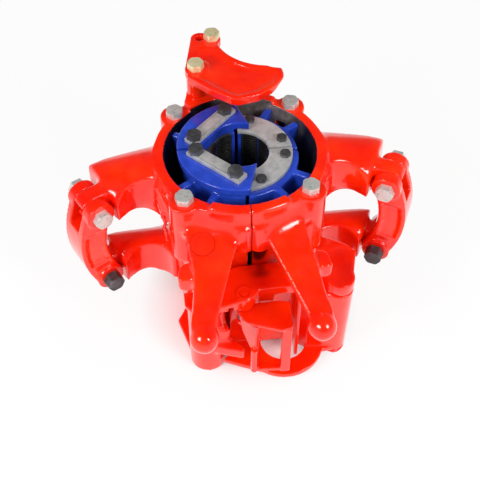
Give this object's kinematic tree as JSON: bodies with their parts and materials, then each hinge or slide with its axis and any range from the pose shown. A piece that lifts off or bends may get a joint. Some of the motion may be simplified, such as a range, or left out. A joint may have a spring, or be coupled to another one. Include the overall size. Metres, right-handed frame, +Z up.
{
  "type": "drill pipe elevator",
  "caption": "Red hinged slip elevator that clamps drill pipe with four blue toothed slips; side ears take the hoisting links and a hooked latch closes the front.",
  "frame": {"origin": "on the pipe axis at the base plane", "axes": "+Z up along the pipe axis, +X to the right ear, +Y to the hinge at the rear"},
  "size_m": [0.6428, 0.5847, 0.4558],
  "materials": {
    "red_paint": "gloss red enamel over rough cast steel",
    "blue_paint": "satin blue enamel",
    "black_steel": "black oxide",
    "brushed_steel": "bright ground steel",
    "zinc": "zinc plated",
    "yellow_zinc": "yellow passivated zinc plate",
    "spring_steel": "oiled spring steel"
  },
  "bodies": {
    "left_half": {"body_left": "red_paint", "handle_plug": "red_paint", "hinge_pin": "zinc", "hinge_nut": "zinc", "guide_bolts_left": "zinc", "guide_nuts_left": "zinc", "lift_spring_fl": "spring_steel", "lift_spring_rl": "spring_steel", "stop_plate": "red_paint", "stop_plate_bolts": "yellow_zinc", "pivot_bolt_left": "black_steel", "pivot_nut_left": "black_steel"},
    "right_half": {"body_right": "red_paint", "guide_bolts_right": "zinc", "guide_nuts_right": "zinc", "lift_spring_fr": "spring_steel", "lift_spring_rr": "spring_steel", "latch_pin": "zinc", "pivot_bolt_right": "black_steel", "pivot_nut_right": "black_steel"},
    "latch_arm": {"latch": "red_paint", "lock_pin": "red_paint", "lock_spring": "spring_steel"},
    "lock_pull": {"latch_lock": "red_paint"},
    "slip_set_fl": {"slip_fl": "blue_paint", "dies_fl": "black_steel", "bar_fl": "brushed_steel", "bar_bolts_fl": "black_steel"},
    "slip_set_rl": {"slip_rl": "blue_paint", "dies_rl": "black_steel", "bar_rl": "brushed_steel", "bar_bolts_rl": "black_steel"},
    "slip_set_fr": {"slip_fr": "blue_paint", "dies_fr": "black_steel", "retainer_fr": "brushed_steel", "retainer_bolts_fr": "black_steel"},
    "slip_set_rr": {"slip_rr": "blue_paint", "dies_rr": "black_steel", "retainer_rr": "brushed_steel", "retainer_bolts_rr": "black_steel"},
    "link_left": {"link_block_left": "red_paint", "link_bolt_left": "zinc", "link_nut_left": "zinc"},
    "link_right": {"link_block_right": "red_paint", "link_bolt_right": "zinc", "link_nut_right": "zinc"}
  },
  "joints": [
    {"name": "body_hinge", "type": "hinge", "parent": "left_half", "child": "right_half", "pos_m": [0, 0.192, 0.186], "axis": [0, 0, 1], "range_deg": [0, 30]},
    {"name": "latch_swing", "type": "hinge", "parent": "right_half", "child": "latch_arm", "pos_m": [0.156, -0.176, 0.1], "axis": [0, 0, 1], "range_deg": [0, 105]},
    {"name": "lock_pull_turn", "type": "hinge", "parent": "latch_arm", "child": "lock_pull", "pos_m": [-0.018, -0.203, 0.1], "axis": [0, 0, -1], "range_deg": [0, 18], "stiffness_Nm_per_rad": 4},
    {"name": "slip_lift_fl", "type": "slide", "parent": "left_half", "child": "slip_set_fl", "axis": [-0.1162, -0.1162, 0.9864], "range_m": [0, 0.018], "deforming": ["lift_spring_fl"]},
    {"name": "slip_lift_rl", "type": "slide", "parent": "left_half", "child": "slip_set_rl", "axis": [-0.1162, 0.1162, 0.9864], "range_m": [0, 0.018], "deforming": ["lift_spring_rl"]},
    {"name": "slip_lift_fr", "type": "slide", "parent": "right_half", "child": "slip_set_fr", "axis": [0.1162, -0.1162, 0.9864], "range_m": [0, 0.018], "deforming": ["lift_spring_fr"]},
    {"name": "slip_lift_rr", "type": "slide", "parent": "right_half", "child": "slip_set_rr", "axis": [0.1162, 0.1162, 0.9864], "range_m": [0, 0.018], "deforming": ["lift_spring_rr"]},
    {"name": "link_open_left", "type": "hinge", "parent": "left_half", "child": "link_left", "pos_m": [-0.268, -0.042, 0.145], "axis": [0.4695, -0.8829, 0], "range_deg": [0, 78]},
    {"name": "link_open_right", "type": "hinge", "parent": "right_half", "child": "link_right", "pos_m": [0.268, -0.042, 0.145], "axis": [0.4695, 0.8829, 0], "range_deg": [0, 78]}
  ],
  "couplings": [
    {"joint": "latch_swing", "follows": "body_hinge", "ratio": 3.5},
    {"joint": "slip_lift_rl", "follows": "slip_lift_fl", "ratio": 1},
    {"joint": "slip_lift_fr", "follows": "slip_lift_fl", "ratio": 1},
    {"joint": "slip_lift_rr", "follows": "slip_lift_fl", "ratio": 1}
  ]
}
